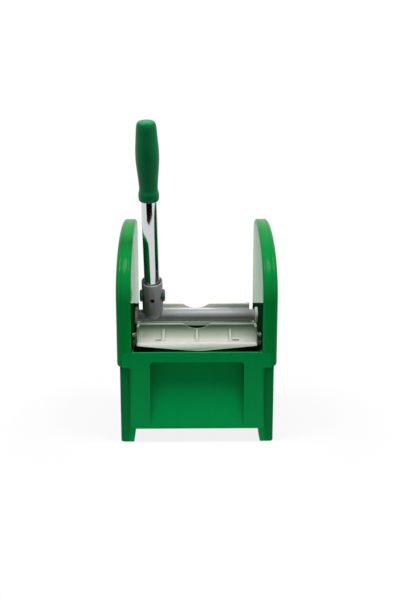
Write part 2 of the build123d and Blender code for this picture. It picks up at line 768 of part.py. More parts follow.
# Guide pins: the front ones reach the outer rack layer, the rear ones the inner layer
for name, side, pin_end in (("front", -1, layer_end), ("rear", 1, layer_a + layer_thickness)):
    pin_places = [(side * guide_pin_y, guide_pin_low), (side * guide_pin_y, guide_pin_high)]
    with BuildPart() as jaw_pins:
        with BuildSketch(Plane.YZ.offset(end_plate_start)):
            with Locations(*pin_places):
                Circle(guide_pin_radius)
        extrude(amount=pin_end - end_plate_start)
        mirror(about=Plane.YZ)
    save(jaw_pins, f"{name}_jaw_pins")
    # White sleeves on the pins, which run in the guide slots
    with BuildPart() as guide_sleeves:
        with BuildSketch(Plane.YZ.offset(sleeve_start)):
            with Locations(*pin_places):
                Circle(sleeve_flange_radius)
        extrude(amount=sleeve_flange_thickness)
        with BuildSketch(Plane.YZ.offset(sleeve_start)):
            with Locations(*pin_places):
                Circle(sleeve_radius)
        extrude(amount=cavity_start - sleeve_start)
        with BuildSketch(Plane.YZ.offset(sleeve_start)):
            with Locations(*pin_places):
                Circle(guide_pin_radius + running_fit)
        extrude(amount=cavity_start - sleeve_start, mode=Mode.SUBTRACT)
        mirror(about=Plane.YZ)
    save(guide_sleeves, f"{name}_guide_sleeves")

# Lever socket: a casting clamped on the bar, with a deep bore for the lever tube
button_origin = lever_plane.from_local_coords((0, 0, button_place))
button_planes = {
    "left": Plane(button_origin, x_dir=lever_plane.z_dir, z_dir=-lever_plane.x_dir),
    "right": Plane(button_origin, x_dir=lever_plane.z_dir, z_dir=lever_plane.x_dir),
}
button_head_start = button_top - button_head_height
spot_face = button_head_start - button_travel - button_gap
set_screw_plane = Plane(
    lever_plane.from_local_coords((0, 0, set_screw_place)),
    x_dir=lever_plane.x_dir,
    z_dir=-lever_plane.y_dir,
)
rim_plane = lever_plane.offset(socket_height).rotated((socket_rim_tilt, 0, 0))
rim_axis = Axis(rim_plane.origin, rim_plane.z_dir)
with BuildPart() as lever_socket:
    with BuildSketch(lever_plane.offset(-socket_drop)):
        Circle(socket_radius)
    extrude(amount=socket_drop + socket_height + socket_radius)
    fillet(edges().group_by(lever_axis)[0], socket_base_radius)
    split(bisect_by=rim_plane, keep=Keep.BOTTOM)
    fillet(faces().sort_by(rim_axis)[-1].edges(), socket_rim_radius)
    with BuildSketch(lever_plane.offset(tube_start)):
        Circle(tube_radius + tube_fit)
    extrude(amount=2 * socket_height, mode=Mode.SUBTRACT)
    with BuildSketch(lever_plane.offset(socket_height - socket_throat_depth)):
        Circle(socket_throat_radius)
    extrude(amount=2 * socket_height, mode=Mode.SUBTRACT)
    chamfer(faces().sort_by(rim_axis)[-1].inner_wires()[0].edges(), socket_throat_chamfer)
    with BuildSketch(Plane.YZ.offset(lever_x - 2 * socket_radius)):
        with Locations((0, bar_height)):
            Circle(bar_radius + running_fit)
    extrude(amount=4 * socket_radius, mode=Mode.SUBTRACT)
    for plane in button_planes.values():
        with BuildSketch(plane.offset(spot_face)):
            Circle(button_head_radius + button_gap)
        extrude(amount=socket_radius, mode=Mode.SUBTRACT)
        with BuildSketch(plane):
            Circle(button_stem_radius + button_gap)
        extrude(amount=socket_radius, mode=Mode.SUBTRACT)
    with BuildSketch(set_screw_plane):
        Circle(set_screw_radius + running_fit)
    extrude(amount=2 * socket_radius, mode=Mode.SUBTRACT)
save(lever_socket, "lever_socket")

# Set screw that clamps the tube in the socket
with BuildPart() as socket_screw:
    with BuildSketch(set_screw_plane.offset(tube_radius + running_fit)):
        Circle(set_screw_radius)
    extrude(amount=socket_radius - set_screw_sink - tube_radius - running_fit)
    with BuildSketch(set_screw_plane.offset(socket_radius - set_screw_sink)):
        RegularPolygon(set_screw_key / 2, 6, major_radius=False)
    extrude(amount=-set_screw_sink, mode=Mode.SUBTRACT)
save(socket_screw, "socket_screw")

# Lever tube, cross drilled for the lock buttons
tube_end = grip_start + grip_length - grip_end_wall
with BuildPart() as lever_tube:
    with BuildSketch(lever_plane.offset(tube_start)):
        Circle(tube_radius)
        Circle(tube_radius - tube_wall, mode=Mode.SUBTRACT)
    extrude(amount=tube_end - tube_start)
    for plane in button_planes.values():
        with BuildSketch(plane):
            Circle(button_stem_radius + button_gap)
        extrude(amount=2 * tube_radius, mode=Mode.SUBTRACT)
save(lever_tube, "lever_tube")

# Grip: a bellied handle with a collar at its lower end, turned about the lever
grip_end = grip_start + grip_length
neck_place = grip_start + grip_collar_length + grip_neck_length
grip_plane = Plane(lever_plane.origin, x_dir=lever_plane.x_dir, z_dir=-lever_plane.y_dir)
belly_place = (neck_place + grip_end) / 2
shoulder_place = grip_end - 2 * grip_end_radius
with BuildPart() as grip:
    with BuildSketch(grip_plane):
        with BuildLine():
            Polyline(
                (0, tube_end),
                (tube_radius + running_fit, tube_end),
                (tube_radius + running_fit, grip_start),
                (grip_collar_radius, grip_start),
                (grip_collar_radius, grip_start + grip_collar_length),
            )
            Spline(
                (grip_collar_radius, grip_start + grip_collar_length),
                (grip_neck_radius, neck_place),
                (grip_belly_radius, belly_place),
                (grip_shoulder_radius, shoulder_place),
                tangents=((0, 1), (-0.16, 1)),
            )
            Polyline(
                (grip_shoulder_radius, shoulder_place),
                (grip_shoulder_radius - grip_end_radius / 4, grip_end),
                (0, grip_end),
                (0, tube_end),
            )
        make_face()
    revolve(axis=lever_axis)
    rings = edges().filter_by(GeomType.CIRCLE).group_by(lever_axis)
    fillet(rings[-1], grip_end_radius)
    rings = edges().filter_by(GeomType.CIRCLE).group_by(lever_axis)
    fillet(rings[0].sort_by(SortBy.RADIUS)[-1], grip_edge_radius)
save(grip, "grip")

# Lock buttons: pressed together, their stems free the tube from the socket
for name, plane in button_planes.items():
    with BuildPart() as lock_button:
        with BuildSketch(plane.offset(button_stem_end)):
            Circle(button_stem_radius)
        extrude(amount=button_head_start - button_stem_end)
        with BuildSketch(plane.offset(button_head_start)):
            Circle(button_head_radius)
        extrude(amount=button_head_height)
        fillet(edges().group_by(Axis(plane.origin, plane.z_dir))[-1], button_edge_radius)
    save(lock_button, f"lock_button_{name}")

# Coil spring between the stems of the two buttons
spring_plane = button_planes["right"]
spring_length = 2 * (button_stem_end - spring_wire_radius - running_fit)
with BuildPart() as button_spring:
    with BuildLine() as coil:
        Helix(
            spring_length / spring_turns,
            spring_length,
            spring_radius,
            center=spring_plane.from_local_coords((0, 0, -spring_length / 2)),
            direction=spring_plane.z_dir,
        )
    with BuildSketch(Plane(coil.line @ 0, z_dir=coil.line % 0)):
        Circle(spring_wire_radius)
    sweep(path=coil.line, is_frenet=True)
save(button_spring, "button_spring")
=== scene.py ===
import json
import math

import bmesh
import bpy
from mathutils import Matrix, Vector
from mathutils.geometry import interpolate_bezier

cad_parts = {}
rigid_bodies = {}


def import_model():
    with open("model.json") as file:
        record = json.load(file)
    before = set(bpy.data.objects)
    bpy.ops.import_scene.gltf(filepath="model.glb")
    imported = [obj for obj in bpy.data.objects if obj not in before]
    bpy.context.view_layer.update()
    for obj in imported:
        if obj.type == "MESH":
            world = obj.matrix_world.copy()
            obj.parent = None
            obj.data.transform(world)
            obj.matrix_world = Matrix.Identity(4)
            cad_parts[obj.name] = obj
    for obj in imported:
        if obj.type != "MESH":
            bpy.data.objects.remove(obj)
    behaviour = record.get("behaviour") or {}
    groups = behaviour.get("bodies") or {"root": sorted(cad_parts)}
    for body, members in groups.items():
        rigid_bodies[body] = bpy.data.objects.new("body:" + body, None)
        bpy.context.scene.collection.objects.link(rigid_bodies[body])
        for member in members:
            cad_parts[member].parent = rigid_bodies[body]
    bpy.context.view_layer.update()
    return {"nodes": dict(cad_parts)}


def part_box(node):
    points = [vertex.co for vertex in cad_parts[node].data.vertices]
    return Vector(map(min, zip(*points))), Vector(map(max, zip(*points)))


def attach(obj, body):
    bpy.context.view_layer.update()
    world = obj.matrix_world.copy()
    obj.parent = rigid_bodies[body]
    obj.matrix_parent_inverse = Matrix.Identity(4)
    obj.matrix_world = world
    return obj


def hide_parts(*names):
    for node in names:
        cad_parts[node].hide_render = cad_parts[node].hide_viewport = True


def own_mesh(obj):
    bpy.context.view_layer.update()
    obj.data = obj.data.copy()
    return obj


for leftover in list(bpy.data.objects):
    bpy.data.objects.remove(leftover)
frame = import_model()
nodes = frame["nodes"]


# Studio: a white table, a black flag on it in front of the wringer that only polished metal
# shows, and two large softboxes overhead, left and right. The camera stands level with the
# neck of the grip and looks slightly down.
scene = bpy.context.scene
scene.view_settings.view_transform = "Standard"

camera = bpy.data.objects.new("camera", bpy.data.cameras.new("camera"))
camera.data.lens = 48.28
camera.location = (-0.0141, -1.5024, 0.5578)
camera.rotation_euler = (math.radians(78.0), 0, math.radians(-0.84))
scene.collection.objects.link(camera)
scene.camera = camera


def place(tree, kind, sockets=None, **settings):
    """Add a node; a socket takes a plain value or another node's output."""
    node = tree.nodes.new(kind)
    for name, setting in settings.items():
        setattr(node, name, setting)
    for name, value in (sockets or {}).items():
        if isinstance(value, bpy.types.NodeSocket):
            tree.links.new(value, node.inputs[name])
        else:
            node.inputs[name].default_value = value
    return node


def seen_directly(tree):
    """1 for what the camera, a mirror or a window shows, 0 for light on its way to a surface."""
    path = place(tree, "ShaderNodeLightPath")
    mirrored = place(
        tree,
        "ShaderNodeMath",
        {0: path.outputs["Is Glossy Ray"], 1: path.outputs["Is Transmission Ray"]},
        operation="MAXIMUM",
    )
    return place(
        tree,
        "ShaderNodeMath",
        {0: path.outputs["Is Camera Ray"], 1: mirrored.outputs[0]},
        operation="MAXIMUM",
    ).outputs[0]


world = bpy.data.worlds.new("white_room")
scene.world = world
world.use_nodes = True
room = world.node_tree
room.nodes.clear()
room_light = place(room, "ShaderNodeBackground", {"Color": (1, 1, 1, 1), "Strength": 0.09})
room_view = place(room, "ShaderNodeBackground", {"Color": (1, 1, 1, 1), "Strength": 1.0})
room_mix = place(
    room,
    "ShaderNodeMixShader",
    {0: seen_directly(room), 1: room_light.outputs[0], 2: room_view.outputs[0]},
)
place(room, "ShaderNodeOutputWorld", {"Surface": room_mix.outputs[0]})


def stage_sheet(name, outline, height):
    """A level sheet of the studio inside an outline."""
    mesh = bpy.data.meshes.new(name)
    mesh.from_pydata([(x, y, height) for x, y in outline], [], [tuple(range(len(outline)))])
    sheet = bpy.data.objects.new(name, mesh)
    scene.collection.objects.link(sheet)
    return sheet


# The camera and polished metal see the table as white paper with the wringer's soft shadow on
# it. Lamplight meets a pale pool that darkens outwards, so little light comes back up from it.
table_top = -0.0006
table_corners = [(-1.6, -1.6), (1.6, -1.6), (1.6, 2.4), (-1.6, 2.4)]
table = stage_sheet("table", table_corners, table_top)
table_white = bpy.data.materials.new("table_white")
table_white.use_nodes = True
paper = table_white.node_tree
paper.nodes.clear()
paper_seen = place(paper, "ShaderNodeEmission", {"Color": (1, 1, 1, 1), "Strength": 1.0})
paper_spot = place(paper, "ShaderNodeTexCoord")
paper_pool = place(
    paper,
    "ShaderNodeMapping",
    {"Vector": paper_spot.outputs["Object"], "Scale": (1.9, 1.0, 1.0)},
)
paper_edge = place(
    paper, "ShaderNodeVectorMath", {0: paper_pool.outputs[0]}, operation="LENGTH"
)
paper_tone = place(
    paper,
    "ShaderNodeMapRange",
    {
        "Value": paper_edge.outputs["Value"],
        "From Min": 0.35,
        "From Max": 0.9,
        "To Min": 0.9,
        "To Max": 0.25,
    },
    interpolation_type="SMOOTHSTEP",
)
paper_lit = place(paper, "ShaderNodeBsdfDiffuse", {"Color": paper_tone.outputs[0]})
paper_reach = place(
    paper, "ShaderNodeVectorMath", {0: paper_spot.outputs["Object"]}, operation="LENGTH"
)
paper_fade = place(
    paper,
    "ShaderNodeMapRange",
    {"Value": paper_reach.outputs["Value"], "From Min": 0.14, "From Max": 0.42, "To Min": 0.86},
    interpolation_type="SMOOTHSTEP",
)
paper_share = place(
    paper,
    "ShaderNodeMath",
    {0: seen_directly(paper), 1: paper_fade.outputs[0]},
    operation="MULTIPLY",
)
paper_mix = place(
    paper,
    "ShaderNodeMixShader",
    {0: paper_share.outputs[0], 1: paper_lit.outputs[0], 2: paper_seen.outputs[0]},
)
place(paper, "ShaderNodeOutputMaterial", {"Surface": paper_mix.outputs[0]})
table.data.materials.append(table_white)

# The flag fans out from the foot of the lever tube. Its near edge is bowed, so that the round
# tube shows it as a streak with a rounded end.
flag_top = 0.001
flag_x = -0.083
flag_y = -0.10
flag_spread = 0.42
flag_skew = math.radians(2.8)
flag_near = 0.492
flag_slant = 0.038
flag_bow = 0.122
flag_rounding = 0.012
flag_far = 1.4


def flag_corner(share, reach):
    """A corner of the flag: its place across the streak, from -1 to 1, and its distance out."""
    turn = 2 * math.asin(flag_spread * share) + flag_skew
    return flag_x + reach * math.sin(turn), flag_y - reach * math.cos(turn)


flag_outline = []
for step in range(-20, 21):
    share = math.sin(math.radians(4.5 * step))
    reach = flag_near + flag_slant * share + flag_bow * share * share
    reach += flag_rounding * (1 - math.sqrt(1 - share * share))
    flag_outline.append(flag_corner(share, reach))
for step in range(20, -21, -4):
    flag_outline.append(flag_corner(step / 20, flag_far))
flag = stage_sheet("flag", flag_outline, flag_top)
unlit = bpy.data.materials.new("unlit")
unlit.use_nodes = True
unlit_shader = unlit.node_tree.nodes["Principled BSDF"]
unlit_shader.inputs["Base Color"].default_value = (0.004, 0.004, 0.004, 1)
unlit_shader.inputs["Roughness"].default_value = 1.0
unlit_shader.inputs["Specular IOR Level"].default_value = 0.0
flag.data.materials.append(unlit)
flag.visible_camera = False
flag.visible_diffuse = False
flag.visible_shadow = False

softbox_side = 0.8
softbox_watts = 28.0
softbox_target = Vector((0.0, -0.1, 0.1))
for softbox_name, softbox_place in (
    ("left_softbox", Vector((-0.75, -0.42, 2.1))),
    ("right_softbox", Vector((0.75, -0.42, 2.1))),
):
    softbox = bpy.data.objects.new(softbox_name, bpy.data.lights.new(softbox_name, "AREA"))
    softbox.data.shape = "RECTANGLE"
    softbox.data.size = softbox_side
    softbox.data.size_y = softbox_side
    softbox.data.energy = softbox_watts
    softbox.location = softbox_place
    softbox_aim = softbox_target - softbox_place
    softbox.rotation_euler = softbox_aim.to_track_quat("-Z", "Y").to_euler()
    scene.collection.objects.link(softbox)


# Body and housings: green polypropylene mouldings with a glossy tool finish. The body is an
# open frame on four legs; each housing is an inner shell and an outer cover, screwed shut
# over the gearing and screwed down on the body's upper band.
def shader_group(name, inputs, outputs):
    """An empty shader node group with named sockets, and its two end nodes."""
    group = bpy.data.node_groups.new(name, "ShaderNodeTree")
    for socket_name, socket_type, value in inputs:
        socket = group.interface.new_socket(socket_name, in_out="INPUT", socket_type=socket_type)
        if value is not None:
            socket.default_value = value
    for socket_name, socket_type in outputs:
        group.interface.new_socket(socket_name, in_out="OUTPUT", socket_type=socket_type)
    return group, group.nodes.new("NodeGroupInput"), group.nodes.new("NodeGroupOutput")


# Skin that a polished steel tool leaves on plastic: slow drifts of tone, flow marks that run
# up the wall, uneven gloss and a very fine orange peel.
moulded_skin, skin_in, skin_out = shader_group(
    "moulded_skin",
    [
        ("Vector", "NodeSocketVector", None),
        ("Colour", "NodeSocketColor", (0.5, 0.5, 0.5, 1)),
        ("Mottle", "NodeSocketFloat", 0.08),
        ("Gloss Low", "NodeSocketFloat", 0.2),
        ("Gloss High", "NodeSocketFloat", 0.3),
        ("Peel Scale", "NodeSocketFloat", 900.0),
    ],
    [
        ("Colour", "NodeSocketColor"),
        ("Roughness", "NodeSocketFloat"),
        ("Height", "NodeSocketFloat"),
    ],
)
tone_drift = place(
    moulded_skin,
    "ShaderNodeTexNoise",
    {"Vector": skin_in.outputs["Vector"], "Scale": 14.0, "Detail": 3.0},
)
flow_stretch = place(
    moulded_skin,
    "ShaderNodeMapping",
    {"Vector": skin_in.outputs["Vector"], "Scale": (90.0, 90.0, 7.0)},
)
flow_marks = place(
    moulded_skin,
    "ShaderNodeTexNoise",
    {"Vector": flow_stretch.outputs[0], "Scale": 1.0, "Detail": 4.0},
)
tone_sum = place(
    moulded_skin,
    "ShaderNodeMath",
    {0: tone_drift.outputs[0], 1: flow_marks.outputs[0]},
    operation="ADD",
)
tone_offset = place(
    moulded_skin,
    "ShaderNodeMath",
    {0: tone_sum.outputs[0], 1: 1.0},
    operation="SUBTRACT",
)
tone_gain = place(
    moulded_skin,
    "ShaderNodeMath",
    {0: tone_offset.outputs[0], 1: skin_in.outputs["Mottle"], 2: 1.0},
    operation="MULTIPLY_ADD",
)
skin_tone = place(
    moulded_skin,
    "ShaderNodeVectorMath",
    {0: skin_in.outputs["Colour"], "Scale": tone_gain.outputs[0]},
    operation="SCALE",
)
gloss_patches = place(
    moulded_skin,
    "ShaderNodeTexNoise",
    {"Vector": skin_in.outputs["Vector"], "Scale": 55.0, "Detail": 5.0, "Roughness": 0.6},
)
skin_gloss = place(
    moulded_skin,
    "ShaderNodeMapRange",
    {
        "Value": gloss_patches.outputs[0],
        "From Min": 0.3,
        "From Max": 0.7,
        "To Min": skin_in.outputs["Gloss Low"],
        "To Max": skin_in.outputs["Gloss High"],
    },
)
peel = place(
    moulded_skin,
    "ShaderNodeTexNoise",
    {
        "Vector": skin_in.outputs["Vector"],
        "Scale": skin_in.outputs["Peel Scale"],
        "Detail": 1.0,
    },
)
moulded_skin.links.new(skin_tone.outputs[0], skin_out.inputs["Colour"])
moulded_skin.links.new(skin_gloss.outputs[0], skin_out.inputs["Roughness"])
moulded_skin.links.new(peel.outputs[0], skin_out.inputs["Height"])


# Bands of painted shade and painted reflected light: it darkens or tints a surface beyond a
# level along a direction, measured from the middle of the wringer outwards, with a ragged edge.
painted_shade_bands, band_in, band_out = shader_group(
    "painted_shade_bands",
    [
        ("Vector", "NodeSocketVector", None),
        ("Colour", "NodeSocketColor", (0.5, 0.5, 0.5, 1)),
        ("Shade Tint", "NodeSocketColor", (0.4, 0.45, 0.4, 1)),
        ("Direction", "NodeSocketVector", (0.0, 0.0, 1.0)),
        ("Bare Level", "NodeSocketFloat", 0.0),
        ("Full Level", "NodeSocketFloat", 1.0),
        ("Top", "NodeSocketFloat", 1.0),
        ("Ragged", "NodeSocketFloat", 0.004),
    ],
    [("Colour", "NodeSocketColor")],
)
band_folded = place(
    painted_shade_bands, "ShaderNodeVectorMath", {0: band_in.outputs["Vector"]}, operation="ABSOLUTE"
)
band_height = place(
    painted_shade_bands,
    "ShaderNodeVectorMath",
    {0: band_folded.outputs[0], 1: band_in.outputs["Direction"]},
    operation="DOT_PRODUCT",
)
band_ripple = place(
    painted_shade_bands,
    "ShaderNodeTexNoise",
    {"Vector": band_in.outputs["Vector"], "Scale": 45.0, "Detail": 3.0},
)
band_edge = place(
    painted_shade_bands,
    "ShaderNodeMath",
    {0: band_ripple.outputs[0], 1: band_in.outputs["Ragged"], 2: band_height.outputs["Value"]},
    operation="MULTIPLY_ADD",
)
band_share = place(
    painted_shade_bands,
    "ShaderNodeMapRange",
    {
        "Value": band_edge.outputs[0],
        "From Min": band_in.outputs["Bare Level"],
        "From Max": band_in.outputs["Full Level"],
    },
    interpolation_type="SMOOTHSTEP",
)
band_parts = place(painted_shade_bands, "ShaderNodeSeparateXYZ", {0: band_in.outputs["Vector"]})
band_below = place(
    painted_shade_bands,
    "ShaderNodeMath",
    {0: band_parts.outputs["Z"], 1: band_in.outputs["Top"]},
    operation="LESS_THAN",
)
band_spread = place(
    painted_shade_bands,
    "ShaderNodeMath",
    {0: band_share.outputs[0], 1: band_below.outputs[0]},
    operation="MULTIPLY",
)
band_tint = place(
    painted_shade_bands,
    "ShaderNodeMix",
    {0: band_spread.outputs[0], 6: band_in.outputs["Colour"], 7: band_in.outputs["Shade Tint"]},
    data_type="RGBA",
    blend_type="MULTIPLY",
)
painted_shade_bands.links.new(band_tint.outputs[2], band_out.inputs["Colour"])

# Painted shade inside the wringer: it darkens the walls that face the middle, where shade falls.
inside_painted_shade, shade_in, shade_out = shader_group(
    "inside_painted_shade",
    [
        ("Vector", "NodeSocketVector", None),
        ("Facing", "NodeSocketVector", None),
        ("Colour", "NodeSocketColor", (0.5, 0.5, 0.5, 1)),
        ("Inside Shade", "NodeSocketColor", (0.3, 0.3, 0.3, 1)),
    ],
    [("Colour", "NodeSocketColor")],
)
inside_flat = place(
    inside_painted_shade,
    "ShaderNodeVectorMath",
    {0: shade_in.outputs["Vector"], 1: (1.0, 1.0, 0.0)},
    operation="MULTIPLY",
)
inside_facing = place(
    inside_painted_shade,
    "ShaderNodeVectorMath",
    {0: inside_flat.outputs[0], 1: shade_in.outputs["Facing"]},
    operation="DOT_PRODUCT",
)
inside_ripple = place(
    inside_painted_shade,
    "ShaderNodeTexNoise",
    {"Vector": shade_in.outputs["Vector"], "Scale": 30.0, "Detail": 4.0},
)
inside_edge = place(
    inside_painted_shade,
    "ShaderNodeMath",
    {0: inside_ripple.outputs[0], 1: 0.02, 2: inside_facing.outputs["Value"]},
    operation="MULTIPLY_ADD",
)
inside_share = place(
    inside_painted_shade,
    "ShaderNodeMapRange",
    {"Value": inside_edge.outputs[0], "From Min": -0.02, "From Max": -0.09},
    interpolation_type="SMOOTHSTEP",
)
inside_tint = place(
    inside_painted_shade,
    "ShaderNodeMix",
    {0: inside_share.outputs[0], 6: shade_in.outputs["Colour"], 7: shade_in.outputs["Inside Shade"]},
    data_type="RGBA",
    blend_type="MULTIPLY",
)
inside_painted_shade.links.new(inside_tint.outputs[2], shade_out.inputs["Colour"])


def painted_band(tint, direction, bare_level, full_level, top=1.0, ragged=0.0):
    """A band of painted shade: its tint, the direction it deepens in, where it starts, where it is
    full, its top.
    """
    return tint, direction, bare_level, full_level, top, ragged


def painted_over(tree, spot, colour, painted_bands):
    """Lay bands of painted shade over a colour, one on the other."""
    for tint, direction, bare_level, full_level, top, ragged in painted_bands:
        shade_layer = place(tree, "ShaderNodeGroup", node_tree=painted_shade_bands)
        tree.links.new(spot, shade_layer.inputs["Vector"])
        tree.links.new(colour, shade_layer.inputs["Colour"])
        shade_layer.inputs["Shade Tint"].default_value = (*tint, 1)
        shade_layer.inputs["Direction"].default_value = direction
        shade_layer.inputs["Bare Level"].default_value = bare_level
        shade_layer.inputs["Full Level"].default_value = full_level
        shade_layer.inputs["Top"].default_value = top
        shade_layer.inputs["Ragged"].default_value = ragged
        colour = shade_layer.outputs["Colour"]
    return colour


def moulded_plastic(name, colour, mottle, gloss, peel_depth, specular=0.5, painted_bands=(), inside_shade=None):
    """Plastic with a moulded skin: colour, how far its tone drifts, range of gloss, depth of peel."""
    material = bpy.data.materials.new(name)
    material.use_nodes = True
    tree = material.node_tree
    shader = tree.nodes["Principled BSDF"]
    shader.inputs["Specular IOR Level"].default_value = specular
    coordinates = place(tree, "ShaderNodeTexCoord")
    skin = place(tree, "ShaderNodeGroup", node_tree=moulded_skin)
    tree.links.new(coordinates.outputs["Object"], skin.inputs["Vector"])
    skin.inputs["Colour"].default_value = (*colour, 1)
    skin.inputs["Mottle"].default_value = mottle
    skin.inputs["Gloss Low"].default_value, skin.inputs["Gloss High"].default_value = gloss
    bump = place(
        tree,
        "ShaderNodeBump",
        {"Strength": 0.35, "Distance": peel_depth, "Height": skin.outputs["Height"]},
    )
    skin_colour = skin.outputs["Colour"]
    # Painted shade on the walls that face the middle of the wringer.
    if inside_shade:
        shaded_inside = place(tree, "ShaderNodeGroup", node_tree=inside_painted_shade)
        tree.links.new(coordinates.outputs["Object"], shaded_inside.inputs["Vector"])
        tree.links.new(coordinates.outputs["Normal"], shaded_inside.inputs["Facing"])
        tree.links.new(skin_colour, shaded_inside.inputs["Colour"])
        shaded_inside.inputs["Inside Shade"].default_value = (*inside_shade, 1)
        skin_colour = shaded_inside.outputs["Colour"]
    # Bands of painted shade, some tinted green as painted reflected light, laid over the colour.
    skin_colour = painted_over(tree, coordinates.outputs["Object"], skin_colour, painted_bands)
    tree.links.new(skin_colour, shader.inputs["Base Color"])
    tree.links.new(skin.outputs["Roughness"], shader.inputs["Roughness"])
    tree.links.new(bump.outputs[0], shader.inputs["Normal"])
    return material


def dress(material, *names):
    """Give CAD nodes their finished material."""
    for name in names:
        nodes[name].material_slots[0].material = material


# Painted shade on the body: the corner posts beyond the panel's edges and below the band are
# darkened, more towards the top, and the walls that face the middle are darkened.
outwards = (1.0, 0.0, 0.04)
body_green = moulded_plastic(
    "body_green",
    (0.0, 0.285, 0.064),
    0.10,
    (0.17, 0.26),
    0.00006,
    specular=0.035,
    painted_bands=[painted_band((0.64, 0.64, 0.64), outwards, 0.1195, 0.1260, top=0.1402)],
    inside_shade=(0.12, 0.12, 0.12),
)
dress(body_green, "body")
# Painted shade: the faces of the housings that face the middle are slightly darkened.
shell_green = moulded_plastic(
    "shell_green",
    (0.0, 0.245, 0.042),
    0.10,
    (0.09, 0.15),
    0.00006,
    specular=0.035,
    inside_shade=(0.8, 0.8, 0.8),
)
shell_gloss = shell_green.node_tree.nodes["Principled BSDF"]
shell_gloss.inputs["Sheen Weight"].default_value = 0.5
shell_gloss.inputs["Sheen Roughness"].default_value = 0.35
shell_gloss.inputs["Sheen Tint"].default_value = (0.35, 1.0, 0.45, 1)
dress(shell_green, "outer_cover_left", "outer_cover_right")

# Painted shade on the inner shells: below a straight line that falls towards the back, the
# faces that face the middle are a dull dark matt green without sheen.
painted_shade_green = moulded_plastic(
    "painted_shade_green", (0.004, 0.05, 0.012), 0.5, (0.7, 0.9), 0.0002, specular=0.0
)
weld = 0.000002
shade_line_level = 0.2336
shade_line_up = Vector((0.0, 0.216, 1.0))
facing_inward = -0.9
for side in ("left", "right"):
    shell_shape = bmesh.new()
    shell_shape.from_mesh(nodes["inner_shell_" + side].data)
    bmesh.ops.remove_doubles(shell_shape, verts=shell_shape.verts, dist=weld)
    bmesh.ops.bisect_plane(
        shell_shape,
        geom=shell_shape.verts[:] + shell_shape.edges[:] + shell_shape.faces[:],
        plane_co=(0.0, 0.0, shade_line_level),
        plane_no=shade_line_up,
    )
    shell_shape.normal_update()
    for face in shell_shape.faces:
        middle = face.calc_center_median()
        inward = face.normal.x * math.copysign(1.0, middle.x) < facing_inward
        face.material_index = int(inward and middle.dot(shade_line_up) < shade_line_level)
        face.smooth = not inward
    shell_mesh = bpy.data.meshes.new("shade_lined_shell_" + side)
    shell_shape.to_mesh(shell_mesh)
    shell_shape.free()
    shell_mesh.set_sharp_from_angle(angle=math.radians(30))
    shell_mesh.materials.append(shell_green)
    shell_mesh.materials.append(painted_shade_green)
    shell = bpy.data.objects.new("shade_lined_shell_" + side, shell_mesh)
    scene.collection.objects.link(shell)
    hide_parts("inner_shell_" + side)
    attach(shell, "frame")


# Screws: zinc plated socket screws. Six close each housing from outside, sunk in the cover,
# and four come up through the body's flange to hold the housings down.
steel_grain, grain_in, grain_out = shader_group(
    "steel_grain",
    [
        ("Vector", "NodeSocketVector", None),
        ("Stretch", "NodeSocketVector", (300.0, 300.0, 300.0)),
        ("Colour", "NodeSocketColor", (0.5, 0.5, 0.5, 1)),
        ("Stain", "NodeSocketFloat", 0.15),
        ("Gloss Low", "NodeSocketFloat", 0.25),
        ("Gloss High", "NodeSocketFloat", 0.4),
    ],
    [
        ("Colour", "NodeSocketColor"),
        ("Roughness", "NodeSocketFloat"),
        ("Height", "NodeSocketFloat"),
    ],
)
grain_stretch = place(
    steel_grain,
    "ShaderNodeMapping",
    {"Vector": grain_in.outputs["Vector"], "Scale": grain_in.outputs["Stretch"]},
)
grain_lines = place(
    steel_grain,
    "ShaderNodeTexNoise",
    {"Vector": grain_stretch.outputs[0], "Scale": 1.0, "Detail": 5.0, "Roughness": 0.65},
)
stain_patches = place(
    steel_grain,
    "ShaderNodeTexNoise",
    {"Vector": grain_in.outputs["Vector"], "Scale": 60.0, "Detail": 4.0, "Roughness": 0.6},
)
stain_drop = place(
    steel_grain,
    "ShaderNodeMath",
    {0: stain_patches.outputs[0], 1: grain_in.outputs["Stain"]},
    operation="MULTIPLY",
)
stain_gain = place(
    steel_grain, "ShaderNodeMath", {0: 1.0, 1: stain_drop.outputs[0]}, operation="SUBTRACT"
)
steel_tone = place(
    steel_grain,
    "ShaderNodeVectorMath",
    {0: grain_in.outputs["Colour"], "Scale": stain_gain.outputs[0]},
    operation="SCALE",
)
steel_gloss = place(
    steel_grain,
    "ShaderNodeMapRange",
    {
        "Value": grain_lines.outputs[0],
        "From Min": 0.3,
        "From Max": 0.7,
        "To Min": grain_in.outputs["Gloss Low"],
        "To Max": grain_in.outputs["Gloss High"],
    },
)
steel_grain.links.new(steel_tone.outputs[0], grain_out.inputs["Colour"])
steel_grain.links.new(steel_gloss.outputs[0], grain_out.inputs["Roughness"])
steel_grain.links.new(grain_lines.outputs[0], grain_out.inputs["Height"])


